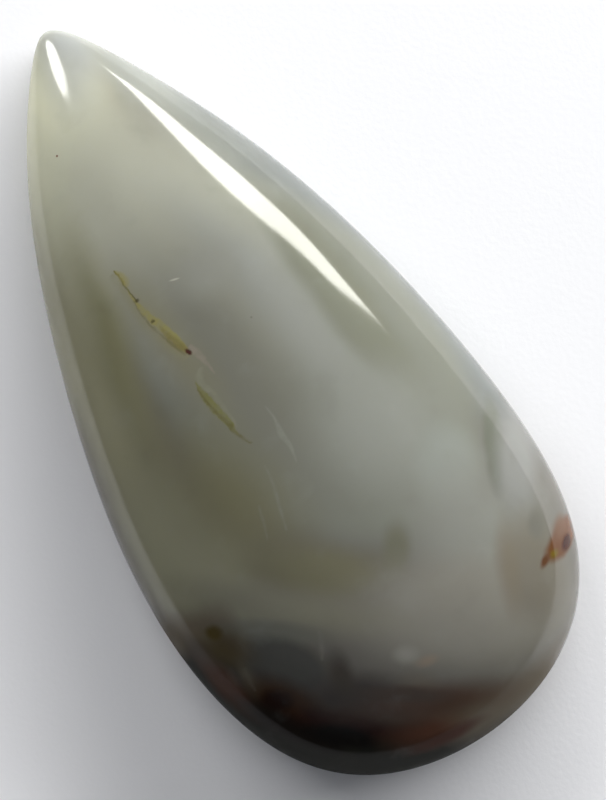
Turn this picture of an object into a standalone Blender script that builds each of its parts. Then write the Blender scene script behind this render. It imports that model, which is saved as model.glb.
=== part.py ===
"""A pear-shaped agate cabochon: one stone with a polished dome, a rounded girdle and a flat ground back.

Metres, +Z up. The origin lies on the flat back, under the middle of the stone's box, and +Y points
to the tip. The stone rests on its back.
"""

import math

import bmesh
import bpy
from mathutils import Vector

# Driving dimensions
LENGTH = 0.0450
GIRDLE_HEIGHT = 0.0016
EDGE_ROUND = 0.0011

# How full the outline is on either side of its middle line, at even steps from the tip to the round
# end, and how far that line leans to the right of the long axis
WIDTH_FULLNESS = (0.0081, 0.0183, 0.0160, 0.0230, 0.0238, 0.0350)
LEAN = (0.0, -0.0031, 0.0039, -0.0054, 0.0029, 0.0)

# Every cross-section of the dome is half an ellipse, this share as high as it is wide on either side
DOME_SHARE = 0.53

# The rounded lower edge draws in less near the narrow tip: this share of it at the very tip, and
# nearly all of it a few of these distances further on
EDGE_SHARE_AT_TIP = 0.35
EDGE_GROWS_OVER = 0.0030

# The part of a quarter turn below the girdle that the rounded lower edge takes up
EDGE_ANGLE = math.radians(40)

# The back is ground by hand, so it rests on a flat spot with these four corners, counter-clockwise
# seen from above, and rises by a hair from there to its edge: this much per metre
FLAT_SPOT = (
    Vector((0.0060, 0.0080)),
    Vector((-0.0060, 0.0080)),
    Vector((-0.0095, -0.0120)),
    Vector((0.0095, -0.0120)),
)
BACK_RISE = 0.01

SEGMENTS_AROUND = 72
RINGS_ALONG = 46
OUTLINE_STEP = 1e-3

# The polished stone's colour, averaged over its sage and grey zones, and its gloss
STONE_COLOUR = (0.27, 0.28, 0.22, 1.0)
STONE_ROUGHNESS = 0.08


def blend_along(values, share):
    """The smooth (Bernstein) mix of the values, for a share from 0 at the tip to 1 at the round end."""
    degree = len(values) - 1
    return sum(
        value * math.comb(degree, i) * share**i * (1 - share) ** (degree - i)
        for i, value in enumerate(values)
    )


def swell(share):
    """What makes the stone grow from nothing and close again, round, at both of its ends."""
    return math.sqrt(max(share * (1 - share), 0.0))


def outline_point(turn):
    """The stone's outline seen from above: turn is 0 at the tip, pi at the round end, below 0 on the left."""
    share = (1 - math.cos(turn)) / 2
    half_width = swell(share) * blend_along(WIDTH_FULLNESS, share)
    middle = swell(share) * blend_along(LEAN, share)
    return Vector((middle + math.copysign(half_width, turn), LENGTH * math.cos(turn) / 2, 0))


def edge_inset(turn):
    """How far, and which way, the outline draws in from the girdle to the flat back."""
    ahead = outline_point(turn + OUTLINE_STEP) - outline_point(turn - OUTLINE_STEP)
    inward = Vector((ahead.y, -ahead.x, 0)).normalized()
    from_tip = LENGTH * (1 - math.cos(turn)) / 2
    lost = (1 - EDGE_SHARE_AT_TIP) * math.exp(-from_tip / EDGE_GROWS_OVER)
    return inward * EDGE_ROUND * (1 - lost)


def dome_point(along, angle):
    """On the dome: along is 1 at the tip and -1 at the round end, angle 0 at the girdle's right edge."""
    share = (1 - along) / 2
    half_width = swell(share) * blend_along(WIDTH_FULLNESS, share)
    middle = swell(share) * blend_along(LEAN, share)
    x = middle + half_width * math.cos(angle)
    z = GIRDLE_HEIGHT + DOME_SHARE * half_width * math.sin(angle)
    return Vector((x, LENGTH * along / 2, z))


def back_height(place):
    """How far the back has risen at a place: nothing on the flat spot, then in step with the distance."""
    outside = 0.0
    for corner, following in zip(FLAT_SPOT, FLAT_SPOT[1:] + FLAT_SPOT[:1]):
        side = (following - corner).normalized()
        outward = Vector((side.y, -side.x))
        outside = max(outside, outward.dot(place.xy - corner))
    return BACK_RISE * outside


def under_point(across, along):
    """Below the girdle, for a place on the unit disc: a quarter round at its rim, then the ground back."""
    turn = math.atan2(across, along)
    below = math.acos(min(math.hypot(across, along), 1.0))
    rolled = min(below / EDGE_ANGLE, 1.0) * math.pi / 2
    rim = outline_point(turn) + edge_inset(turn) * (1 - math.cos(rolled))
    place = rim * min(math.cos(below) / math.cos(EDGE_ANGLE), 1.0)
    drop = (GIRDLE_HEIGHT - back_height(place)) * math.sin(rolled)
    return place + Vector((0, 0, GIRDLE_HEIGHT - drop))


def stone_point(on_sphere):
    """The stone's surface for a point of the unit sphere whose poles are the tip and the round end."""
    across, along, up = on_sphere
    if up >= 0:
        return dome_point(along, math.atan2(up, across))
    return under_point(across, along)


def polished_stone():
    """The material: pale olive-grey stone under a glossy polish."""
    material = bpy.data.materials.new("polished_agate")
    material.use_nodes = True
    shader = material.node_tree.nodes["Principled BSDF"]
    shader.inputs["Base Color"].default_value = STONE_COLOUR
    shader.inputs["Roughness"].default_value = STONE_ROUGHNESS
    shader.inputs["Metallic"].default_value = 0.0
    material.diffuse_color = STONE_COLOUR
    return material


def make_stone(collection):
    """One closed solid: a sphere with its poles at the tip and the round end, drawn out to the stone."""
    mesh = bpy.data.meshes.new("agate_cabochon")
    shape = bmesh.new()
    bmesh.ops.create_uvsphere(
        shape, u_segments=SEGMENTS_AROUND, v_segments=RINGS_ALONG, radius=1.0
    )
    for vertex in shape.verts:
        vertex.co = stone_point((vertex.co.x, vertex.co.z, -vertex.co.y))
    for corner in FLAT_SPOT:
        low_point = corner.to_3d()
        nearest = min(shape.verts, key=lambda v: (v.co - low_point).length)
        nearest.co = low_point
    middle = (max(v.co.x for v in shape.verts) + min(v.co.x for v in shape.verts)) / 2
    bmesh.ops.translate(shape, verts=shape.verts, vec=(-middle, 0, 0))
    bmesh.ops.recalc_face_normals(shape, faces=shape.faces)
    shape.to_mesh(mesh)
    shape.free()
    mesh.shade_smooth()
    mesh.set_sharp_from_angle(angle=math.radians(60))
    mesh.materials.append(polished_stone())
    stone = bpy.data.objects.new("agate_cabochon", mesh)
    collection.objects.link(stone)
    return stone


def main():
    """Clears the scene and makes the stone in a collection of its own."""
    for leftover in list(bpy.data.objects):
        bpy.data.objects.remove(leftover, do_unlink=True)
    collection = bpy.data.collections.new("pear_agate_cabochon")
    bpy.context.scene.collection.children.link(collection)
    make_stone(collection)


main()
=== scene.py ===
"""A pear-shaped agate cabochon, polished all over, lying on a sheet of white paper.

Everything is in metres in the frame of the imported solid: +Y to the tip, +Z up, the back on the
paper. The stone's markings are worked out in millimetres from places inside the stone, so they run
on over its sides and its back as they do in a cut stone.
"""

from __future__ import annotations

import logging
import math
from collections.abc import Sequence
from dataclasses import dataclass
from enum import Enum

import bpy
import numpy as np
from mathutils import Matrix, Vector


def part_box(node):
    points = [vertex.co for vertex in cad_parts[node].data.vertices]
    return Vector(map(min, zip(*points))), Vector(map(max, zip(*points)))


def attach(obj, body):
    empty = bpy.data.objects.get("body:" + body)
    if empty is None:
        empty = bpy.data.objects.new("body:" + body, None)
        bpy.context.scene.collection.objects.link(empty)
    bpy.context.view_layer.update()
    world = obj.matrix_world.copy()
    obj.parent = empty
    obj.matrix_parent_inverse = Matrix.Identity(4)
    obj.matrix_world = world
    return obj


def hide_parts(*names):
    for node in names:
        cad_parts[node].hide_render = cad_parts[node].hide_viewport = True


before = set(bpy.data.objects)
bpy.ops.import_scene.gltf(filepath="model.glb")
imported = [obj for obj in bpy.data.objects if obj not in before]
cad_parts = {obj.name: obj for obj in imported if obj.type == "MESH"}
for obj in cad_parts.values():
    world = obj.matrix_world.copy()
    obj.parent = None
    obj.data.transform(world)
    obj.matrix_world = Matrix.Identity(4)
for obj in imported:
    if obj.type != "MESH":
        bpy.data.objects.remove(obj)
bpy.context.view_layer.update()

Pair = tuple[float, float]
Triple = tuple[float, float, float]
Line = tuple[float, ...]

STONE_NODE = "agate_cabochon"
STONE_SLOT = "polished_agate"
MM_PER_M = 1000.0
TINY = 1e-7

log = logging.getLogger("agate_cabochon")


# Working with node trees


class Sum(Enum):
    """The sums that a Math node does here."""

    ADD = "ADD"
    SUBTRACT = "SUBTRACT"
    MULTIPLY = "MULTIPLY"
    DIVIDE = "DIVIDE"
    LEAST = "MINIMUM"
    MOST = "MAXIMUM"
    ABSOLUTE = "ABSOLUTE"
    ROOT = "SQRT"
    SINE = "SINE"
    COSINE = "COSINE"
    ARCCOSINE = "ARCCOSINE"
    ARCTANGENT = "ARCTAN2"
    EXPONENT = "EXPONENT"
    ABOVE = "GREATER_THAN"


class Bench:
    """A node tree with one method that sets any node into it."""

    def __init__(self, tree: bpy.types.NodeTree) -> None:
        """Empties the tree and keeps it."""
        self.tree = tree
        tree.nodes.clear()

    def node(
        self,
        kind: str,
        settings: dict[str, object] | None = None,
        sockets: dict[str | int, object] | None = None,
    ) -> bpy.types.Node:
        """Adds one node.

        Args:
            kind: the node's type.
            settings: its properties, set first; "points" are a curve's, from 0 to 1.
            sockets: values or links for its inputs, by name or number.

        Returns:
            The node.
        """
        made = self.tree.nodes.new(kind)
        for name, value in (settings or {}).items():
            if name == "points":
                self._bend(made.mapping, value)
            else:
                setattr(made, name, value)
        for key, value in (sockets or {}).items():
            self._plug(made.inputs[key], value)
        return made

    def number(self, sum_: Sum, *terms: Value | float) -> Value:
        """One Math node on up to three numbers."""
        made = self.node("ShaderNodeMath", {"operation": sum_.value}, dict(enumerate(terms)))
        return Value(self, made.outputs[0])

    def place(self, x: Value | float, y: Value | float, z: Value | float) -> Place:
        """A place from its three numbers."""
        made = self.node("ShaderNodeCombineXYZ", sockets={0: x, 1: y, 2: z})
        return Place(self, made.outputs[0])

    def _plug(self, socket: bpy.types.NodeSocket, value: object) -> None:
        """Links a socket, or sets it to a plain value.

        Args:
            socket: the input to fill.
            value: a wrapped socket, a plain socket, a number, a vector or a colour.
        """
        if isinstance(value, (Value, Place, Tint)):
            self.tree.links.new(value.socket, socket)
        elif isinstance(value, bpy.types.NodeSocket):
            self.tree.links.new(value, socket)
        elif socket.type == "RGBA" and len(value) == 3:
            socket.default_value = (*value, 1.0)
        else:
            socket.default_value = value

    @staticmethod
    def _bend(mapping: bpy.types.CurveMapping, points: Sequence[Pair]) -> None:
        """Gives a curve its points.

        Args:
            mapping: the curve node's mapping.
            points: places from (0, 0) to (1, 1), left to right.
        """
        curve = mapping.curves[0]
        while len(curve.points) < len(points):
            curve.points.new(0.5, 0.5)
        for point, (x, y) in zip(curve.points, points):
            point.location = (x, y)
        mapping.update()


@dataclass(frozen=True)
class Value:
    """A number that a socket gives."""

    bench: Bench
    socket: bpy.types.NodeSocket

    def __add__(self, other: Value | float) -> Value:
        """This plus the other."""
        return self.bench.number(Sum.ADD, self, other)

    def __radd__(self, other: float) -> Value:
        """The other plus this."""
        return self.bench.number(Sum.ADD, other, self)

    def __sub__(self, other: Value | float) -> Value:
        """This less the other."""
        return self.bench.number(Sum.SUBTRACT, self, other)

    def __rsub__(self, other: float) -> Value:
        """The other less this."""
        return self.bench.number(Sum.SUBTRACT, other, self)

    def __mul__(self, other: Value | float) -> Value:
        """This times the other."""
        return self.bench.number(Sum.MULTIPLY, self, other)

    def __rmul__(self, other: float) -> Value:
        """The other times this."""
        return self.bench.number(Sum.MULTIPLY, other, self)

    def __truediv__(self, other: Value | float) -> Value:
        """This over the other."""
        return self.bench.number(Sum.DIVIDE, self, other)

    def __rtruediv__(self, other: float) -> Value:
        """The other over this."""
        return self.bench.number(Sum.DIVIDE, other, self)

    def done(self, sum_: Sum, *others: Value | float) -> Value:
        """This put through another sum."""
        return self.bench.number(sum_, self, *others)

    def rise(self, low: float, high: float) -> Value:
        """A soft step: 0 up to low, 1 from high on.

        Args:
            low: where the step starts.
            high: where it ends.

        Returns:
            The step's height at this number.
        """
        made = self.bench.node(
            "ShaderNodeMapRange",
            {"interpolation_type": "SMOOTHSTEP"},
            {"Value": self, "From Min": low, "From Max": high},
        )
        return Value(self.bench, made.outputs[0])

    def traced(self, low: float, high: float, heights: Sequence[float], span: float) -> Value:
        """Reads a drawn line at this number.

        Args:
            low: where the line starts.
            high: where it ends.
            heights: its heights at even steps.
            span: a height that is surely more than any of them, up or down.

        Returns:
            The line's height.
        """
        last = len(heights) - 1
        points = [(i / last, 0.5 + height / (2 * span)) for i, height in enumerate(heights)]
        made = self.bench.node(
            "ShaderNodeFloatCurve",
            {"points": points},
            {"Value": (self - low) * (1.0 / (high - low))},
        )
        return (Value(self.bench, made.outputs[0]) - 0.5) * (2 * span)


@dataclass(frozen=True)
class Noise:
    """A cloudy noise: the size of its larger features, how many finer layers, and its seed."""

    size: Value | float
    layers: float
    seed: Value | float = 0.0


@dataclass(frozen=True)
class Place:
    """A place or direction that a socket gives."""

    bench: Bench
    socket: bpy.types.NodeSocket

    def _vector(self, operation: str, other: object, scale: Value | float = 1.0) -> bpy.types.Node:
        """One Vector Math node."""
        sockets = {0: self, 3: scale} if operation == "SCALE" else {0: self, 1: other}
        return self.bench.node("ShaderNodeVectorMath", {"operation": operation}, sockets)

    def __add__(self, other: Place | Triple) -> Place:
        """This moved by the other."""
        return Place(self.bench, self._vector("ADD", other).outputs[0])

    def __sub__(self, other: Place | Triple) -> Place:
        """This seen from the other."""
        return Place(self.bench, self._vector("SUBTRACT", other).outputs[0])

    def __mul__(self, scale: Value | float) -> Place:
        """This drawn out."""
        return Place(self.bench, self._vector("SCALE", None, scale).outputs[0])

    def along(self, direction: Place | Triple) -> Value:
        """How far this reaches in a direction."""
        return Value(self.bench, self._vector("DOT_PRODUCT", direction).outputs[1])

    def length(self) -> Value:
        """How long this is."""
        return Value(self.bench, self._vector("LENGTH", (0.0, 0.0, 0.0)).outputs[1])

    def unit(self) -> Place:
        """This at length one."""
        return Place(self.bench, self._vector("NORMALIZE", (0.0, 0.0, 0.0)).outputs[0])

    def parts(self) -> tuple[Value, Value, Value]:
        """The three numbers of this place."""
        made = self.bench.node("ShaderNodeSeparateXYZ", sockets={0: self})
        return tuple(Value(self.bench, socket) for socket in made.outputs)

    def within(self, centre: Triple, radii: Triple, turn: float, dip: float = 0.0) -> Place:
        """This place as an ellipsoid sees it, whose surface is at length one.

        Args:
            centre: the ellipsoid's middle.
            radii: its three half-lengths.
            turn: degrees that its first axis is turned from +X towards +Y.
            dip: degrees that its first axis points down.

        Returns:
            The place in the ellipsoid's own measure.
        """
        made = self.bench.node(
            "ShaderNodeMapping",
            {"vector_type": "TEXTURE"},
            {
                "Vector": self,
                "Location": centre,
                "Rotation": (0.0, math.radians(dip), math.radians(turn)),
                "Scale": radii,
            },
        )
        return Place(self.bench, made.outputs[0])

    def _noise(self, noise: Noise) -> bpy.types.Node:
        """One noise node at this place."""
        numbers = {"W": noise.seed, "Scale": 1.0 / noise.size, "Detail": noise.layers}
        settings = {"noise_dimensions": "4D"}
        return self.bench.node("ShaderNodeTexNoise", settings, {"Vector": self, **numbers})

    def grain(self, noise: Noise) -> Value:
        """The noise at this place, from 0 to 1."""
        return Value(self.bench, self._noise(noise).outputs[0])

    def stirred(self, noise: Noise, reach: float) -> Place:
        """This place pushed about by the noise, by up to about this reach."""
        push = Place(self.bench, self._noise(noise).outputs[1]) - (0.5, 0.5, 0.5)
        return self + push * (2 * reach)


@dataclass(frozen=True)
class Tint:
    """A colour that a socket gives."""

    bench: Bench
    socket: bpy.types.NodeSocket

    def toward(self, other: Tint | Triple, share: Value | float) -> Tint:
        """This colour mixed with another, by its share."""
        return mixed(self.bench, self, other, share)


def mixed(bench: Bench, first: Tint | Triple, second: Tint | Triple, share: Value | float) -> Tint:
    """Mixes two colours.

    Args:
        bench: the tree.
        first: the colour at share 0.
        second: the colour at share 1.
        share: how much of the second.

    Returns:
        The mixture.
    """
    made = bench.node("ShaderNodeMix", {"data_type": "RGBA"}, {0: share, 6: first, 7: second})
    return Tint(bench, made.outputs[2])


def begun(name: str) -> tuple[bpy.types.Material, Place]:
    """Begins a material.

    Args:
        name: its name.

    Returns:
        The material, and the place being shaded, in metres, which also holds the tree.
    """
    made = bpy.data.materials.new(name)
    made.use_nodes = True
    bench = Bench(made.node_tree)
    return made, Place(bench, bench.node("ShaderNodeTexCoord").outputs["Object"])


def placed(name: str, data: bpy.types.ID, matrix: Matrix | None = None) -> bpy.types.Object:
    """Makes an object and links it into the scene.

    Args:
        name: its name.
        data: its mesh, light or camera.
        matrix: its place and turn, if it isn't at the origin.

    Returns:
        The object.
    """
    made = bpy.data.objects.new(name, data)
    made.matrix_world = matrix or Matrix()
    bpy.context.scene.collection.objects.link(made)
    return made


def facing(spot: Vector, right: Vector, up: Vector, back: Vector) -> Matrix:
    """The matrix that stands a thing at a spot, with these three axes."""
    return Matrix.Translation(spot) @ Matrix((right, up, back)).transposed().to_4x4()


# The stone's shape


@dataclass
class StoneSkin:
    """The stone's surface: an elliptic dome, a rounded lower edge and a nearly flat ground back."""

    length: float = 0.045
    girdle_height: float = 0.0016
    edge_round: float = 0.0011
    edge_angle: float = math.radians(40)
    edge_share_at_tip: float = 0.35
    edge_grows_over: float = 0.003
    dome_share: float = 0.53
    fullness: Line = (0.0081, 0.0183, 0.016, 0.023, 0.0238, 0.035)
    lean: Line = (0.0, -0.0031, 0.0039, -0.0054, 0.0029, 0.0)
    back_rise: float = 0.01
    flat_spot: tuple[Pair, ...] = (
        (0.006, 0.008), (-0.006, 0.008), (-0.0095, -0.012), (0.0095, -0.012)
    )
    around: int = 320
    from_end_to_end: int = 288
    outline_step: float = 1e-3
    hand_wave: float = 6e-6
    hand_wave_size: float = 0.0065
    hand_seed: float = 4.0

    def build(self, material: bpy.types.Material) -> bpy.types.Object:
        """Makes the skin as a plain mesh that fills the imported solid's box.

        Args:
            material: the stone's finish.

        Returns:
            The object, with its place in its mesh.
        """
        tree = self._tree()
        carrier = placed("carrier", bpy.data.meshes.new("blank"))
        modifier = carrier.modifiers.new("skin", "NODES")
        modifier.node_group = tree
        for item in tree.interface.items_tree:
            if item.in_out == "INPUT":
                given = material if item.name == "Finish" else item.default_value
                modifier[item.identifier] = given
        drawn = carrier.evaluated_get(bpy.context.evaluated_depsgraph_get())
        mesh = bpy.data.meshes.new_from_object(drawn)
        carrier.modifiers.remove(modifier)
        bpy.data.objects.remove(carrier)
        mesh.name = "polished_skin"
        self._fit(mesh)
        return placed(mesh.name, mesh)

    def _sizes(self) -> dict[str, float]:
        """The tree's named inputs.

        Returns:
            Their values by name, in the order of the tree's panel. Whole numbers are counts.
        """
        sizes = {
            "Length": self.length,
            "Girdle Height": self.girdle_height,
            "Edge Round": self.edge_round,
            "Edge Angle": self.edge_angle,
            "Edge Share At Tip": self.edge_share_at_tip,
            "Edge Grows Over": self.edge_grows_over,
            "Dome Share": self.dome_share,
            "Back Rise": self.back_rise,
            "Hand Wave": self.hand_wave,
            "Hand Wave Size": self.hand_wave_size,
            "Hand Seed": self.hand_seed,
            "Around": self.around,
            "From End To End": self.from_end_to_end,
        }
        sizes |= {f"Fullness {i}": value for i, value in enumerate(self.fullness)}
        return sizes | {f"Lean {i}": value for i, value in enumerate(self.lean)}

    def _tree(self) -> bpy.types.NodeTree:
        """The rule of the surface, from a sphere whose poles are the tip and the round end.

        Returns:
            The node tree, ready for a modifier.
        """
        tree = bpy.data.node_groups.new("cabochon skin", "GeometryNodeTree")
        face = tree.interface
        face.new_socket("Geometry", in_out="OUTPUT", socket_type="NodeSocketGeometry")
        for name, value in self._sizes().items():
            kind = "NodeSocketInt" if isinstance(value, int) else "NodeSocketFloat"
            face.new_socket(name, in_out="INPUT", socket_type=kind).default_value = value
        face.new_socket("Finish", in_out="INPUT", socket_type="NodeSocketMaterial")
        bench = Bench(tree)
        given = bench.node("NodeGroupInput").outputs
        ball = bench.node(
            "GeometryNodeMeshUVSphere",
            sockets={"Segments": given["Around"], "Rings": given["From End To End"], "Radius": 1.0},
        )
        sizes = {name: Value(bench, given[name]) for name in self._sizes()}
        spot = Place(bench, bench.node("GeometryNodeInputPosition").outputs[0])
        x, y, z = spot.parts()
        surface = self._surface(sizes, x, z, 0.0 - y)
        wave = surface.grain(Noise(sizes["Hand Wave Size"], 1.0, sizes["Hand Seed"]))
        up = (0.0 - y).done(Sum.MOST, 0.0)
        surface = surface + bench.place(0.0, 0.0, (wave - 0.5) * up * sizes["Hand Wave"] * 2.0)
        moved = bench.node(
            "GeometryNodeSetPosition",
            sockets={"Geometry": ball.outputs["Mesh"], "Position": surface},
        )
        smooth = bench.node("GeometryNodeSetShadeSmooth", sockets={0: moved.outputs[0]})
        real = bench.node("GeometryNodeRealizeInstances", sockets={0: smooth.outputs[0]})
        dressed = bench.node(
            "GeometryNodeSetMaterial",
            sockets={"Geometry": real.outputs[0], "Material": given["Finish"]},
        )
        bench.node("NodeGroupOutput", sockets={0: dressed.outputs[0]})
        return tree

    @staticmethod
    def _blend(sizes: dict[str, Value], name: str, share: Value) -> Value:
        """The smooth mix of a size's numbered values, from the tip to the round end.

        Args:
            sizes: the named sizes.
            name: what the numbered values are called.
            share: the share of the way from the tip.

        Returns:
            The mixed value.
        """
        level = [value for key, value in sizes.items() if key.startswith(name)]
        while len(level) > 1:
            level = [a + (b - a) * share for a, b in zip(level, level[1:])]
        return level[0]

    def _outline(self, sizes: dict[str, Value], turn: Value) -> Place:
        """The outline seen from above: turn is 0 at the tip and goes round by the right side.

        Args:
            sizes: the named sizes.
            turn: the angle round the outline.

        Returns:
            The place on the outline, at height 0.
        """
        cosine = turn.done(Sum.COSINE)
        sine = turn.done(Sum.SINE)
        share = (1.0 - cosine) * 0.5
        wide = self._blend(sizes, "Fullness", share)
        lean = self._blend(sizes, "Lean", share)
        x = (sine * wide + sine.done(Sum.ABSOLUTE) * lean) * 0.5
        return turn.bench.place(x, cosine * sizes["Length"] * 0.5, 0.0)

    def _inset(self, sizes: dict[str, Value], turn: Value) -> Place:
        """How far, and which way, the outline draws in from the girdle to the back.

        Args:
            sizes: the named sizes.
            turn: the angle round the outline.

        Returns:
            The step inwards.
        """
        ahead = self._outline(sizes, turn + self.outline_step)
        behind = self._outline(sizes, turn - self.outline_step)
        x, y, _ = (ahead - behind).parts()
        inward = turn.bench.place(y, 0.0 - x, 0.0).unit()
        from_tip = sizes["Length"] * (1.0 - turn.done(Sum.COSINE)) * 0.5
        near = (0.0 - from_tip / sizes["Edge Grows Over"]).done(Sum.EXPONENT)
        kept = 1.0 - (1.0 - sizes["Edge Share At Tip"]) * near
        return inward * (sizes["Edge Round"] * kept)

    def _back_height(self, place: Place, sizes: dict[str, Value]) -> Value:
        """How far the back has risen from its flat spot.

        Args:
            place: the place on the back, seen from above.
            sizes: the named sizes.

        Returns:
            The rise, 0 on the flat spot.
        """
        outside: Value | None = None
        for (x0, y0), (x1, y1) in zip(self.flat_spot, self.flat_spot[1:] + self.flat_spot[:1]):
            side = Vector((x1 - x0, y1 - y0)).normalized()
            outward = (side.y, -side.x, 0.0)
            reach = (place - (x0, y0, 0.0)).along(outward)
            outside = reach if outside is None else outside.done(Sum.MOST, reach)
        return outside.done(Sum.MOST, 0.0) * sizes["Back Rise"]

    def _surface(self, sizes: dict[str, Value], across: Value, along: Value, up: Value) -> Place:
        """The place on the stone for a point of the sphere.

        Args:
            sizes: the named sizes.
            across: the point's part to the right.
            along: its part towards the tip.
            up: its part upwards.

        Returns:
            The place on the stone.
        """
        bench = up.bench
        girdle = sizes["Girdle Height"]
        share = (1.0 - along) * 0.5
        swell = (share * (1.0 - share)).done(Sum.MOST, 0.0).done(Sum.ROOT)
        wide = self._blend(sizes, "Fullness", share)
        lean = self._blend(sizes, "Lean", share)
        ring = (across * across + up * up).done(Sum.ROOT).done(Sum.MOST, TINY)
        dome = bench.place(
            swell * (lean + wide * (across / ring)),
            along * sizes["Length"] * 0.5,
            girdle + swell * wide * sizes["Dome Share"] * (up / ring),
        )
        turn = across.done(Sum.ARCTANGENT, along)
        disc = (across * across + along * along).done(Sum.ROOT).done(Sum.LEAST, 1.0)
        below = disc.done(Sum.ARCCOSINE)
        rolled = (below / sizes["Edge Angle"]).done(Sum.LEAST, 1.0) * (math.pi / 2)
        rim = self._outline(sizes, turn)
        rim = rim + self._inset(sizes, turn) * (1.0 - rolled.done(Sum.COSINE))
        drawn_in = (disc / sizes["Edge Angle"].done(Sum.COSINE)).done(Sum.LEAST, 1.0)
        low = rim * drawn_in
        drop = (girdle - self._back_height(low, sizes)) * rolled.done(Sum.SINE)
        under = low + bench.place(0.0, 0.0, girdle - drop)
        chosen = bench.node(
            "GeometryNodeSwitch",
            {"input_type": "VECTOR"},
            {"Switch": up.done(Sum.ABOVE, 0.0), "False": under, "True": dome},
        )
        return Place(bench, chosen.outputs[0])

    @staticmethod
    def _fit(mesh: bpy.types.Mesh) -> None:
        """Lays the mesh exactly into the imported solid's box.

        Args:
            mesh: the skin's mesh, which is moved.
        """
        low, high = (np.array(corner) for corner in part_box(STONE_NODE))
        flat = np.empty(len(mesh.vertices) * 3, np.float32)
        mesh.vertices.foreach_get("co", flat)
        places = flat.reshape(-1, 3).astype(np.float64)
        least = places.min(0)
        most = places.max(0)
        places = low + (places - least) * (high - low) / (most - least)
        mesh.vertices.foreach_set("co", places.astype(np.float32).ravel())
        mesh.update()


# The stone's markings


class Lie(Enum):
    """How much a marking's outline wanders."""

    TRUE = "true"
    RAGGED = "ragged"
    CLOSE = "close"
    LOOSE = "loose"


# The bends of each wandering outline, and how far they reach, in millimetres.
STIRRING: dict[Lie, tuple[Noise, float]] = {
    Lie.RAGGED: (Noise(0.4, 3.0, 3.0), 0.14),
    Lie.CLOSE: (Noise(1.6, 3.0, 2.0), 0.16),
    Lie.LOOSE: (Noise(5.0, 3.0, 1.0), 0.45),
}


@dataclass(frozen=True)
class Spots:
    """What a marking is laid by: the place as each lie sees it, and the seams' patchiness."""

    places: dict[Lie, Place]
    patches: Value


@dataclass(frozen=True)
class Blot:
    """A body of colour inside the stone, an ellipsoid with a soft skin. Sizes are millimetres."""

    centre: Triple
    radii: Triple
    turn: float
    fade: float
    tint: Triple
    lie: Lie = Lie.LOOSE
    share: float = 1.0
    dip: float = 0.0

    def lay(self, under: Tint, spots: Spots) -> Tint:
        """Lays the blot into the colour under it.

        Args:
            under: the colour so far.
            spots: the stirred places and the patchiness.

        Returns:
            The colour with the marking in it.
        """
        reach = spots.places[self.lie].within(self.centre, self.radii, self.turn, self.dip).length()
        inside = 1.0 - reach.rise(1.0 - self.fade, 1.0 + self.fade)
        return under.toward(self.tint, inside * self.share)


@dataclass(frozen=True)
class Seam:
    """A healed crack: a thin, steep sheet along a wavering line. Sizes are millimetres."""

    start: Pair
    end: Pair
    sideways: Line
    half_widths: Line
    tint: Triple
    edge: float = 0.05
    share: float = 1.0
    lie: Lie = Lie.RAGGED
    deepest: float = 3.0
    sway_span: float = 2.0
    width_span: float = 1.0
    end_fade: float = 0.05
    foot_fade: Pair = (1.0, 0.5)

    def lay(self, under: Tint, spots: Spots) -> Tint:
        """Lays the seam into the colour under it.

        Args:
            under: the colour so far.
            spots: the stirred places and the patchiness.

        Returns:
            The colour with the marking in it.
        """
        place = spots.places[self.lie]
        run = Vector(self.end) - Vector(self.start)
        ahead = run.normalized()
        seen = place - (*self.start, 0.0)
        along = seen.along((ahead.x, ahead.y, 0.0))
        aside = seen.along((-ahead.y, ahead.x, 0.0))
        aside = aside - along.traced(0.0, run.length, self.sideways, self.sway_span)
        half = along.traced(0.0, run.length, self.half_widths, self.width_span)
        inside = (half - aside.done(Sum.ABSOLUTE)).rise(-self.edge, self.edge)
        inside = inside * along.rise(-self.end_fade, self.end_fade)
        inside = inside * (1.0 - along.rise(run.length - self.end_fade, run.length + self.end_fade))
        below, above = self.foot_fade
        upper = place.parts()[2].rise(self.deepest - below, self.deepest + above)
        return under.toward(self.tint, inside * upper * spots.patches * self.share)


@dataclass(frozen=True)
class Bank:
    """Layers, one beyond the other, to the right of a wavering line. Sizes are millimetres."""

    start: Pair
    end: Pair
    sideways: Line
    layers: tuple[tuple[float, float, Triple], ...]
    lie: Lie = Lie.CLOSE
    sway_span: float = 4.0

    def lay(self, under: Tint, spots: Spots) -> Tint:
        """Lays every layer, from its own depth on, over the ones before it.

        Args:
            under: the colour so far.
            spots: the stirred places and the patchiness.

        Returns:
            The colour with the layers in it.
        """
        place = spots.places[self.lie]
        run = Vector(self.end) - Vector(self.start)
        ahead = run.normalized()
        seen = place - (*self.start, 0.0)
        along = seen.along((ahead.x, ahead.y, 0.0))
        depth = seen.along((ahead.y, -ahead.x, 0.0))
        depth = depth - along.traced(0.0, run.length, self.sideways, self.sway_span)
        colour = under
        for begins, softness, tint in self.layers:
            colour = colour.toward(tint, depth.rise(begins - softness, begins + softness))
        return colour
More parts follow.
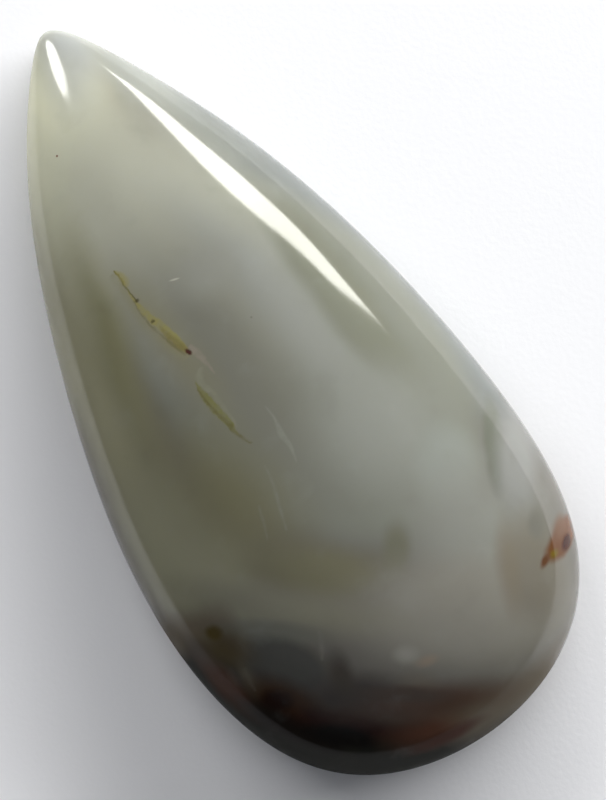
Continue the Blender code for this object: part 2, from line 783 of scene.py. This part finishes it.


# The sage body: yellowish and pale on the left flank, grey-green on the right one.
# Its pale and neutral greys at the tip are painted reflections of the paper.
SAGE_BODY_AND_TIP_REFLECTION: tuple[Blot, ...] = (
    Blot((-4.0, 15.7, 3.3), (4.0, 9.4, 7.0), -21.0, 0.71, (0.675, 0.675, 0.5)),
    # Painted reflection: the paper's pale grey mirror image at the thin tip.
    Blot((0.2, 20.3, 2.8), (1.5, 3.2, 7.0), -12.0, 0.63, (0.32, 0.33, 0.305), share=0.8),
    # Painted reflection: the paper's grey mirror image on the tip's right side.
    Blot((0.9, 21.0, 2.3), (1.1, 1.9, 7.0), 12.0, 0.8, (0.235, 0.245, 0.245), share=0.6),
    Blot((-7.3, 4.8, 4.1), (1.8, 11.8, 7.0), -6.0, 0.7, (0.256, 0.248, 0.164)),
    Blot((-7.1, -6.5, 5.0), (3.0, 4.7, 7.0), 10.0, 0.44, (0.25, 0.246, 0.169)),
    Blot((7.5, 5.3, 3.8), (2.5, 15.8, 7.0), 14.0, 0.35, (0.127, 0.137, 0.129)),
    # Painted reflection: the paper's grey mirror image along the right rim near the tip.
    Blot((3.1, 17.5, 2.6), (1.1, 3.0, 5.0), 21.0, 0.7, (0.225, 0.236, 0.215), share=0.9),
)

# The milky nodule, its paler upper end, its darker core, a sage patch and its lobes.
MILKY_CLOUD: tuple[Blot, ...] = (
    Blot((3.1, -0.4, 6.7), (7.7, 11.6, 7.0), 11.0, 0.13, (0.155, 0.16, 0.132)),
    Blot((-0.2, 9.9, 5.2), (4.6, 7.7, 7.0), 10.0, 0.7, (0.309, 0.311, 0.25)),
    Blot((3.4, 2.8, 6.3), (1.7, 7.2, 7.0), 13.0, 0.72, (0.194, 0.199, 0.175)),
    Blot((-0.3, 1.1, 6.8), (2.5, 7.4, 7.0), 3.0, 0.75, (0.134, 0.133, 0.106)),
    Blot((1.1, 5.9, 6.1), (1.5, 1.2, 7.0), 14.0, 0.8, (0.183, 0.185, 0.157)),
    Blot((6.4, 1.3, 6.0), (1.2, 6.7, 7.0), 7.0, 0.39, (0.139, 0.143, 0.109)),
    Blot((4.5, -5.8, 6.8), (2.6, 2.9, 7.0), 19.0, 0.79, (0.19, 0.196, 0.17)),
    Blot((6.5, -9.5, 6.1), (1.5, 2.0, 7.0), -21.0, 0.51, (0.194, 0.206, 0.181)),
    Blot((6.1, -13.3, 6.8), (3.5, 3.4, 7.0), 59.0, 0.73, (0.182, 0.185, 0.161)),
)

# The notch under the cloud, the olive arc and foot, and the grey veils below them.
LOWER_BODY: tuple[Blot, ...] = (
    Blot((2.1, -11.8, 7.3), (0.7, 1.3, 7.0), -30.0, 0.61, (0.119, 0.118, 0.085)),
    Blot((-1.7, -10.9, 7.4), (1.3, 3.3, 7.0), 54.0, 0.61, (0.136, 0.129, 0.081)),
    Blot((-4.1, -5.0, 7.1), (2.3, 4.5, 7.0), 14.0, 0.95, (0.139, 0.132, 0.075)),
    Blot((3.9, -16.7, 6.9), (2.9, 6.2, 7.0), 61.0, 0.46, (0.185, 0.178, 0.149)),
    Blot((-4.8, -11.0, 6.9), (1.0, 4.8, 7.0), 51.0, 0.77, (0.184, 0.178, 0.13)),
)

# The dark wedge, the pale bay, the tan hollow and two faint bands beside the seams.
RIGHT_SIDE: tuple[Blot, ...] = (
    Blot((9.2, -9.7, 5.3), (0.55, 2.4, 7.0), -24.0, 0.35, (0.112, 0.117, 0.094)),
    Blot((9.7, -11.1, 3.8), (1.0, 2.4, 7.0), -27.0, 0.52, (0.181, 0.183, 0.169)),
    Blot((7.5, -16.2, 5.3), (1.5, 2.6, 7.0), -22.0, 0.5, (0.138, 0.126, 0.099), share=0.9),
    Blot((6.5, -15.5, 5.9), (0.5, 1.9, 7.0), -25.0, 0.9, (0.146, 0.128, 0.094), share=0.8),
    Blot((8.9, -14.3, 4.6), (0.4, 0.7, 7.0), -31.0, 0.6, (0.125, 0.122, 0.103)),
    Blot((-5.2, 5.0, 5.4), (1.0, 5.4, 7.0), -9.0, 0.95, (0.176, 0.17, 0.094)),
    Blot((-2.4, 3.5, 6.3), (0.9, 4.1, 7.0), 6.0, 0.95, (0.165, 0.157, 0.1), share=0.7),
)

# The bank of dark oblique layers over the grey-green rim of the round end.
DARK_BANK = Bank(
    start=(-9.3, -9.0),
    end=(5.9, -20.5),
    sideways=(-0.15, -0.58, 1.28, 0.9, 2.11, 2.48, 1.79, 2.79, 1.79, -0.12),
    layers=((-0.02, 0.85, (0.117, 0.099, 0.072)), (2.15, 0.81, (0.022, 0.022, 0.017))),
)

# Slate, brown, near-black and rust bodies in the bank.
ROUND_END: tuple[Blot, ...] = tuple(
    Blot(*row, Lie.CLOSE)
    for row in (
        ((-5.6, -12.1, 6.7), (0.56, 2.53, 5.0), 54.0, 0.62, (0.125, 0.126, 0.1)),
        ((-6.0, -13.9, 6.2), (1.38, 2.53, 5.0), 43.0, 0.3, (0.058, 0.057, 0.048)),
        ((-3.7, -17.2, 6.1), (1.19, 2.52, 5.0), 60.0, 0.54, (0.041, 0.033, 0.027)),
        ((-9.4, -12.1, 4.3), (0.65, 2.12, 5.0), 16.0, 0.48, (0.064, 0.052, 0.042)),
        ((-9.3, -13.5, 4.0), (0.63, 1.81, 5.0), 15.0, 0.55, (0.056, 0.025, 0.015)),
        ((-6.9, -15.6, 5.6), (1.01, 2.05, 5.0), 32.0, 0.53, (0.034, 0.015, 0.005)),
        ((-7.4, -15.2, 5.3), (0.56, 0.85, 5.0), 59.0, 0.51, (0.014, 0.006, 0.004)),
        ((-7.6, -16.7, 4.3), (0.67, 2.94, 5.0), 35.0, 0.51, (0.012, 0.009, 0.007)),
        ((-4.7, -18.2, 5.6), (0.64, 2.88, 5.0), 51.0, 0.53, (0.024, 0.008, 0.006)),
        ((-5.4, -18.5, 5.2), (0.61, 1.83, 5.0), 49.0, 0.45, (0.01, 0.009, 0.008)),
        ((-0.6, -19.3, 5.6), (0.77, 3.53, 5.0), 67.0, 0.8, (0.07, 0.04, 0.025)),
        ((-1.6, -20.5, 5.2), (0.75, 1.71, 5.0), 72.0, 0.9, (0.098, 0.045, 0.028)),
        ((-1.4, -18.3, 6.3), (0.39, 2.2, 5.0), 57.0, 0.66, (0.053, 0.036, 0.025)),
        ((-0.8, -21.3, 4.4), (0.31, 1.74, 5.0), 85.0, 0.67, (0.061, 0.023, 0.014)),
        ((-3.7, -15.8, 6.6), (0.55, 1.05, 5.0), -15.0, 0.8, (0.044, 0.035, 0.024)),
        ((-8.1, -11.5, 5.2), (0.87, 1.26, 5.0), 40.0, 0.84, (0.062, 0.048, 0.024)),
        ((-8.3, -10.5, 5.3), (0.35, 0.45, 5.0), 57.0, 0.55, (0.06, 0.044, 0.012)),
    )
)

OLIVE = (0.092, 0.084, 0.026)
PALE = (0.185, 0.188, 0.158)

# The two straw-coloured seams with their olive edges and pale ends, and the white cracks: the ends
# of each, its line's sway, its half-widths, and its colour.
SEAMS: tuple[Seam, ...] = (
    Seam(
        (-3.3, 8.4), (-2.0, 2.3),
        (0.0, 0.0, -0.1, -0.18, -0.22, -0.2, -0.12, -0.05, 0.0),
        (0.1, 0.25, 0.3, 0.35, 0.42, 0.42, 0.4, 0.35, 0.2),
        (0.188, 0.176, 0.1), edge=0.3, share=0.55, lie=Lie.CLOSE,
    ),
    Seam(
        (-3.14, 8.5), (-1.83, 2.51),
        (0.0, 0.05, -0.08, -0.22, -0.25, -0.25, -0.16, -0.09, -0.05, -0.05, 0.0),
        (0.03, 0.04, 0.03, 0.06, 0.12, 0.17, 0.2, 0.22, 0.22, 0.19, 0.06),
        (0.215, 0.196, 0.07), edge=0.07, share=0.9,
    ),
    Seam(
        (-2.45, 4.6), (-1.86, 2.6), (0.0, -0.1, -0.08, 0.0), (0.02, 0.16, 0.2, 0.12),
        (0.135, 0.116, 0.034), edge=0.14, share=0.75,
    ),
    Seam(
        (-3.14, 8.5), (-2.85, 6.35), (0.0, 0.06, -0.03, 0.02, 0.0), (0.03, 0.06, 0.05, 0.04, 0.05),
        OLIVE, edge=0.04, share=0.8,
    ),
    Seam(
        (-3.05, 8.45), (-2.85, 7.3), (0.0, 0.06, 0.0), (0.05, 0.22, 0.06),
        (0.235, 0.205, 0.05), edge=0.14, share=0.5,
    ),
    Seam(
        (-3.01, 6.52), (-2.02, 2.51),
        (0.0, -0.15, -0.22, -0.23, -0.19, -0.12, 0.0),
        (0.02, 0.04, 0.05, 0.05, 0.05, 0.05, 0.03),
        OLIVE, edge=0.07, share=0.45,
    ),
    Seam(
        (-1.71, 1.57), (-1.92, 0.17),
        (0.0, -0.2, -0.25, -0.15, 0.0),
        (0.08, 0.16, 0.18, 0.18, 0.12),
        (0.18, 0.178, 0.128), edge=0.12, share=0.7,
    ),
    Seam(
        (-2.33, 1.04), (-1.8, -2.52),
        (0.0, -0.05, -0.06, -0.05, -0.01, 0.02, 0.04, 0.0),
        (0.02, 0.12, 0.2, 0.24, 0.24, 0.2, 0.14, 0.05),
        (0.14, 0.136, 0.046), edge=0.08, share=0.9,
    ),
    Seam(
        (-1.96, 0.62), (-1.71, -2.16), (0.08, 0.1, 0.1, 0.12, 0.08), (0.05, 0.11, 0.11, 0.09, 0.03),
        (0.172, 0.168, 0.12), edge=0.08, share=0.7,
    ),
    Seam(
        (-2.4, 0.72), (-1.39, -3.26),
        (0.0, -0.1, -0.17, -0.18, -0.16, -0.15, -0.22, -0.16, 0.0),
        (0.02, 0.04, 0.06, 0.07, 0.09, 0.11, 0.11, 0.07, 0.03),
        OLIVE, edge=0.07, share=0.7,
    ),
    Seam(
        (-1.65, 2.83), (-1.19, 0.88), (0.0, 0.05, 0.05, 0.02, 0.0), (0.08, 0.18, 0.14, 0.08, 0.02),
        (0.195, 0.17, 0.135), edge=0.09, share=0.8,
    ),
    Seam(
        (0.2, -2.0), (0.1, -5.3), (0.0, 0.1, 0.05, 0.12, 0.0), (0.02, 0.07, 0.16, 0.1, 0.03),
        PALE, edge=0.07, share=0.6, lie=Lie.CLOSE,
    ),
    Seam(
        (-2.7, -6.2), (-3.3, -7.9), (0.0, 0.03, 0.0), (0.05, 0.07, 0.02),
        PALE, edge=0.06, share=0.35, lie=Lie.CLOSE,
    ),
    Seam(
        (-1.4, -4.6), (-2.2, -8.0), (0.0, 0.1, 0.0), (0.03, 0.08, 0.05),
        PALE, edge=0.08, share=0.35, lie=Lie.CLOSE,
    ),
    Seam(
        (-3.42, -13.25), (-4.1, -14.6), (0.0, 0.03, 0.0), (0.06, 0.12, 0.04),
        (0.16, 0.155, 0.128), edge=0.12, share=0.55, lie=Lie.CLOSE,
    ),
    Seam(
        (-7.9, -12.9), (-8.05, -14.2), (0.0, -0.05, 0.0), (0.08, 0.09, 0.03),
        (0.105, 0.095, 0.075), edge=0.12, share=0.45, lie=Lie.CLOSE,
    ),
)

# The orange eye on the right edge: body, mauve shoulder, dark core, yellow spot, dark tip.
EYE: tuple[Blot, ...] = (
    Blot(
        (9.7, -15.6, 3.3), (1.95, 0.68, 0.8), 25.0, 0.24, (0.096, 0.04, 0.014),
        Lie.CLOSE, dip=48.0,
    ),
    Blot(
        (9.8, -15.1, 3.6), (0.75, 0.36, 0.6), 30.0, 0.7, (0.114, 0.066, 0.04),
        Lie.CLOSE, 0.9, 45.0,
    ),
    Blot(
        (9.7, -15.95, 3.4), (0.55, 0.25, 0.7), 30.0, 0.4, (0.034, 0.006, 0.001),
        Lie.CLOSE, dip=50.0,
    ),
    Blot(
        (8.88, -16.1, 4.3), (0.28, 0.17, 0.3), 20.0, 0.7, (0.108, 0.076, 0.008),
        Lie.CLOSE, dip=30.0,
    ),
    Blot(
        (8.28, -16.2, 4.8), (0.42, 0.2, 0.3), 30.0, 0.6, (0.08, 0.036, 0.016),
        Lie.CLOSE, dip=30.0,
    ),
)

DARK_DOT = (0.05, 0.042, 0.014)

# Dots along the seams, the lone red dot, the soft white and orange smears, the white dash.
SPECKS: tuple[Blot, ...] = (
    Blot((-2.82, 6.4, 5.86), (0.14, 0.08, 0.3), 10.0, 0.6, DARK_DOT, Lie.RAGGED, 0.8),
    Blot((-2.62, 5.01, 6.12), (0.1, 0.09, 0.3), 0.0, 0.6, DARK_DOT, Lie.RAGGED, 0.8),
    Blot((-1.82, 2.6, 6.55), (0.2, 0.11, 0.3), -62.0, 0.5, (0.045, 0.012, 0.007), Lie.RAGGED),
    Blot((-2.69, 15.74, 3.81), (0.06, 0.06, 0.3), 0.0, 0.5, (0.12, 0.02, 0.012), Lie.TRUE, 0.9),
    Blot((1.9, 2.4, 6.4), (0.06, 0.06, 0.3), 0.0, 0.5, (0.08, 0.07, 0.05), Lie.TRUE, 0.5),
    Blot(
        (-0.27, -16.59, 6.8), (0.55, 0.38, 0.8), -31.0, 0.85, (0.27, 0.265, 0.235),
        Lie.CLOSE, 0.55,
    ),
    Blot((0.48, -17.4, 6.6), (0.5, 0.22, 0.8), -16.0, 0.85, (0.25, 0.18, 0.125), Lie.CLOSE, 0.45),
    Blot((-0.54, 6.28, 6.1), (0.24, 0.05, 0.5), -16.0, 0.6, (0.36, 0.36, 0.3), Lie.TRUE, 0.7),
)


@dataclass(frozen=True)
class AgateFinish:
    """Polished agate: sage body, a milky cloud, dark layers at the round end, seams and specks.

    Sizes and places are millimetres, but for the haze, whose reach is metres.
    """

    ground: Triple = (0.106, 0.101, 0.088)
    ground_warm: Triple = (0.114, 0.105, 0.088)
    ground_cloud: Noise = Noise(4.0, 2.0, 6.0)
    patch: Noise = Noise(0.45, 3.0, 11.0)
    patch_edge: Pair = (0.36, 0.6)
    patch_least: float = 0.6
    patch_swing: float = 0.45
    wisp: Noise = Noise(2.2, 4.0, 7.0)
    wisp_bend: Noise = Noise(3.0, 2.0, 5.0)
    wisp_reach: float = 0.8
    pale_wisp: Triple = (0.27, 0.28, 0.26)
    pale_edge: Pair = (0.54, 0.78)
    pale_share: float = 0.12
    dark_wisp: Triple = (0.07, 0.068, 0.045)
    dark_edge: Pair = (0.22, 0.46)
    dark_share: float = 0.1
    roughness: float = 0.085
    wear: Noise = Noise(0.9, 3.0, 9.0)
    wear_edge: Pair = (0.45, 0.8)
    wear_roughness: float = 0.02
    back_edge: Pair = (0.2, 0.6)
    back_roughness: float = 0.22
    dull_way: Triple = (-0.603, -0.797, 0.0)
    dull_from: Pair = (12.2, 14.0)
    dull_below: Pair = (4.9, 5.8)
    dull_share: float = 0.8
    dull_roughness: float = 0.7
    ior: float = 1.54
    haze: float = 0.5
    haze_reach: float = 0.0015
    haze_radius: Triple = (1.0, 0.95, 0.8)

    def material(self) -> bpy.types.Material:
        """The finished material.

        Returns:
            The material, for every face of the stone.
        """
        made, where = begun(STONE_SLOT)
        bench = where.bench
        place = where * MM_PER_M
        colour = self._colour(place)
        polished = bench.node(
            "ShaderNodeBsdfPrincipled",
            sockets={
                "Base Color": colour,
                "Roughness": self._gloss(place),
                "IOR": self.ior,
                "Subsurface Weight": self.haze,
                "Subsurface Radius": self.haze_radius,
                "Subsurface Scale": self.haze_reach,
            },
        )
        dull = bench.node(
            "ShaderNodeBsdfPrincipled",
            sockets={
                "Base Color": colour,
                "Roughness": self.dull_roughness,
                "Specular IOR Level": 0.0,
            },
        )
        skin = bench.node(
            "ShaderNodeMixShader",
            sockets={0: self._dullness(place), 1: polished.outputs[0], 2: dull.outputs[0]},
        )
        bench.node("ShaderNodeOutputMaterial", sockets={"Surface": skin.outputs[0]})
        return made

    def _gloss(self, place: Place) -> Value:
        """The polish: high on the dome, slightly worn in places, and satin on the ground back.

        Args:
            place: the place in millimetres.

        Returns:
            The roughness there.
        """
        back = 1.0 - place.parts()[2].rise(*self.back_edge)
        worn = place.grain(self.wear).rise(*self.wear_edge) * self.wear_roughness
        return worn + self.roughness + back * self.back_roughness

    def _dullness(self, place: Place) -> Value:
        """How far the lower edge of the dark end has lost its polish.

        Args:
            place: the place in millimetres.

        Returns:
            The share of the dull finish there.
        """
        outward = place.along(self.dull_way)
        low = 1.0 - place.parts()[2].rise(*self.dull_below)
        return outward.rise(*self.dull_from) * low * self.dull_share

    def _colour(self, place: Place) -> Tint:
        """The stone's colour at a place.

        Args:
            place: the place in millimetres.

        Returns:
            The colour there.
        """
        places = {Lie.TRUE: place}
        for lie, (noise, reach) in STIRRING.items():
            places[lie] = place.stirred(noise, reach)
        patches = place.grain(self.patch).rise(*self.patch_edge)
        spots = Spots(places, patches * self.patch_swing + self.patch_least)
        tone = place.grain(self.ground_cloud)
        colour = mixed(place.bench, self.ground, self.ground_warm, tone)
        # The sage body carries painted reflections of the paper at the tip.
        body = (*SAGE_BODY_AND_TIP_REFLECTION, *MILKY_CLOUD, *LOWER_BODY, *RIGHT_SIDE, DARK_BANK, *ROUND_END)
        for mark in body:
            colour = mark.lay(colour, spots)
        colour = self._turbid(colour, place)
        for mark in (*SEAMS, *EYE, *SPECKS):
            colour = mark.lay(colour, spots)
        return colour

    def _turbid(self, colour: Tint, place: Place) -> Tint:
        """Lays faint paler and darker wisps all through the stone.

        Args:
            colour: the colour so far.
            place: the place in millimetres.

        Returns:
            The colour with the wisps in it.
        """
        wisp = place.stirred(self.wisp_bend, self.wisp_reach).grain(self.wisp)
        colour = colour.toward(self.pale_wisp, wisp.rise(*self.pale_edge) * self.pale_share)
        dark = 1.0 - wisp.rise(*self.dark_edge)
        return colour.toward(self.dark_wisp, dark * self.dark_share)


# The studio


@dataclass
class Paper:
    """The sheet of white paper under the stone."""

    half_size: float = 1.2
    drop: float = 5e-5
    white: Triple = (0.8, 0.8, 0.81)
    tooth: Noise = Noise(0.0003, 3.0)
    tooth_depth: float = 0.0001
    tooth_strength: float = 0.08
    roughness: float = 0.9

    def build(self) -> bpy.types.Object:
        """Makes the sheet.

        Returns:
            The floor object.
        """
        half = self.half_size
        mesh = bpy.data.meshes.new("paper")
        corners = [(-half, -half), (half, -half), (half, half), (-half, half)]
        mesh.from_pydata([(x, y, -self.drop) for x, y in corners], [], [(0, 1, 2, 3)])
        mesh.materials.append(self._finish())
        return placed("paper", mesh)

    def _finish(self) -> bpy.types.Material:
        """Matt white paper with a faint tooth.

        Returns:
            The paper's material.
        """
        made, place = begun("paper")
        bench = place.bench
        bump = bench.node(
            "ShaderNodeBump",
            sockets={
                "Strength": self.tooth_strength,
                "Distance": self.tooth_depth,
                "Height": place.grain(self.tooth),
            },
        )
        shader = bench.node(
            "ShaderNodeBsdfPrincipled",
            sockets={
                "Base Color": self.white,
                "Roughness": self.roughness,
                "Specular IOR Level": 0.0,
                "Normal": bump.outputs[0],
            },
        )
        bench.node("ShaderNodeOutputMaterial", sockets={"Surface": shader.outputs[0]})
        return made


class Duty(Enum):
    """What a lit opening is for: light on everything, or the glint in the polish."""

    LIGHT = "light"
    GLINT = "glint"


@dataclass
class Window:
    """A bright opening that lights the scene or mirrors in the stone's polish."""

    name: str
    toward: Triple
    distance: float
    size: Pair
    radiance: float
    duty: Duty
    aim: Triple = (0.0, 0.0, 0.0)
    centre: Pair = (0.0, 0.0)
    tint: Triple = (1.0, 1.0, 1.0)
    lower: Line = ()
    upper: Line = ()
    edge: float = 0.004

    def build(self) -> bpy.types.Object:
        """Hangs the opening at its distance, facing the stone.

        Returns:
            The light object.
        """
        back = Vector(self.toward).normalized()
        side = Vector((0, 0, 1)).cross(back).normalized()
        up = back.cross(side)
        lamp = bpy.data.lights.new(self.name, "AREA")
        lamp.shape = "RECTANGLE"
        lamp.size, lamp.size_y = self.size
        lamp.energy = self.radiance * math.pi * self.size[0] * self.size[1]
        lamp.color = self.tint
        if self.lower:
            self._shape(lamp)
        spot = Vector(self.aim) + back * self.distance
        spot += side * self.centre[0] + up * self.centre[1]
        hung = placed(self.name, lamp, facing(spot, side, up, back))
        hung.visible_glossy = self.duty is Duty.GLINT
        hung.visible_diffuse = self.duty is Duty.LIGHT
        return hung

    def _shape(self, lamp: bpy.types.AreaLight) -> None:
        """Masks a rectangular lamp to the outline between its lower and upper edges.

        Args:
            lamp: the lamp to mask.
        """
        lamp.use_nodes = True
        bench = Bench(lamp.node_tree)
        spread = Place(bench, bench.node("ShaderNodeNewGeometry").outputs["Parametric"])
        u, v, _ = spread.parts()
        tall = self.size[1]
        height = (v - 0.5) * tall
        low = u.traced(0.0, 1.0, self.lower, tall)
        high = u.traced(0.0, 1.0, self.upper, tall)
        lit = (height - low).rise(0.0, self.edge) * (high - height).rise(0.0, self.edge)
        glow = bench.node("ShaderNodeEmission", sockets={"Strength": lit})
        bench.node("ShaderNodeOutputLight", sockets={"Surface": glow.outputs[0]})


@dataclass
class Room:
    """The room's even light: dim near the horizon, brighter overhead."""

    low: float = 0.05
    high: float = 0.27
    low_until: float = 0.25
    high_from: float = 0.8
    tint: Triple = (0.94, 0.968, 1.03)

    def build(self) -> None:
        """Sets the world's background."""
        world = bpy.data.worlds.new("room")
        world.use_nodes = True
        bench = Bench(world.node_tree)
        toward = Place(bench, bench.node("ShaderNodeTexCoord").outputs["Generated"])
        height = toward.parts()[2].rise(self.low_until, self.high_from)
        glow = bench.node(
            "ShaderNodeBackground",
            sockets={"Color": self.tint, "Strength": height * (self.high - self.low) + self.low},
        )
        bench.node("ShaderNodeOutputWorld", sockets={"Surface": glow.outputs[0]})
        bpy.context.scene.world = world


@dataclass
class Viewpoint:
    """The camera: nearly overhead, leaning a little off the upright and rolled."""

    target: Triple = (0.001782, -0.002339, 0.003)
    distance: float = 0.12
    lean: Pair = (3.0, -5.5)
    roll: float = -31.22
    lens: float = 101.53
    nearest: float = 0.002

    def build(self) -> bpy.types.Object:
        """Makes the camera and gives it to the scene.

        Returns:
            The camera object.
        """
        lean_x, lean_y = (math.tan(math.radians(angle)) for angle in self.lean)
        back = Vector((lean_x, lean_y, 1.0)).normalized()
        level_up = (Vector((0, 1, 0)) - back * back.y).normalized()
        level_right = level_up.cross(back)
        cosine = math.cos(math.radians(self.roll))
        sine = math.sin(math.radians(self.roll))
        right = level_right * cosine + level_up * sine
        up = level_up * cosine - level_right * sine
        data = bpy.data.cameras.new("viewpoint")
        data.lens = self.lens
        data.clip_start = self.nearest
        spot = Vector(self.target) + back * self.distance
        camera = placed("viewpoint", data, facing(spot, right, up, back))
        bpy.context.scene.camera = camera
        return camera


@dataclass
class Studio:
    """Paper, light and camera."""

    def build(self) -> None:
        """Sets everything around the stone."""
        Paper().build()
        Room().build()
        Window(
            name="long window",
            aim=(0.004, 0.008, 0.005),
            toward=(0.64, 0.5, 0.6),
            distance=0.4,
            centre=(0.0, -0.06),
            size=(0.28, 0.15),
            radiance=16.0,
            duty=Duty.GLINT,
            tint=(1.0, 1.0, 0.92),
            lower=(
                *(0.009, 0.0, -0.011, -0.027, -0.036, -0.037, -0.041),
                *(-0.043, -0.048, -0.062, -0.07, -0.062, -0.05),
            ),
            upper=(
                *(0.009, 0.009, 0.028, 0.047, 0.05, 0.056, 0.068),
                *(0.072, 0.069, 0.053, 0.021, -0.03, -0.05),
            ),
        ).build()
        Window(
            name="far window",
            aim=(-0.0004, 0.02, 0.003),
            toward=(-0.17, 0.8, 0.55),
            distance=0.4,
            centre=(-0.02, -0.043),
            size=(0.116, 0.16),
            radiance=14.5,
            duty=Duty.GLINT,
            tint=(1.0, 1.0, 0.95),
            lower=(
                *(0.008, -0.013, -0.035, -0.05, -0.06, -0.067),
                *(-0.071, -0.069, -0.055, -0.03, 0.02),
            ),
            upper=(0.008, 0.036, 0.05, 0.065, 0.071, 0.077, 0.079, 0.079, 0.075, 0.067, 0.02),
        ).build()
        Window(
            name="broad side light",
            toward=(0.873, 0.3845, 0.3),
            distance=0.6,
            size=(1.0, 0.17),
            radiance=22.0,
            duty=Duty.LIGHT,
        ).build()
        Window(
            name="broad far light",
            toward=(-0.06, 0.904, 0.4226),
            distance=0.6,
            size=(0.48, 0.21),
            radiance=8.0,
            duty=Duty.LIGHT,
        ).build()
        Viewpoint().build()


def main() -> None:
    """Builds the stone and its studio."""
    logging.basicConfig(level=logging.INFO, format="%(name)s: %(message)s")
    skin = StoneSkin().build(AgateFinish().material())
    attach(skin, "root")
    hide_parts(STONE_NODE)
    log.info("%s: %d faces", skin.name, len(skin.data.polygons))
    Studio().build()
    bpy.context.scene.view_settings.view_transform = "Standard"
    log.info("studio: paper, room light, four lamps, camera")


if __name__ == "__main__":
    main()
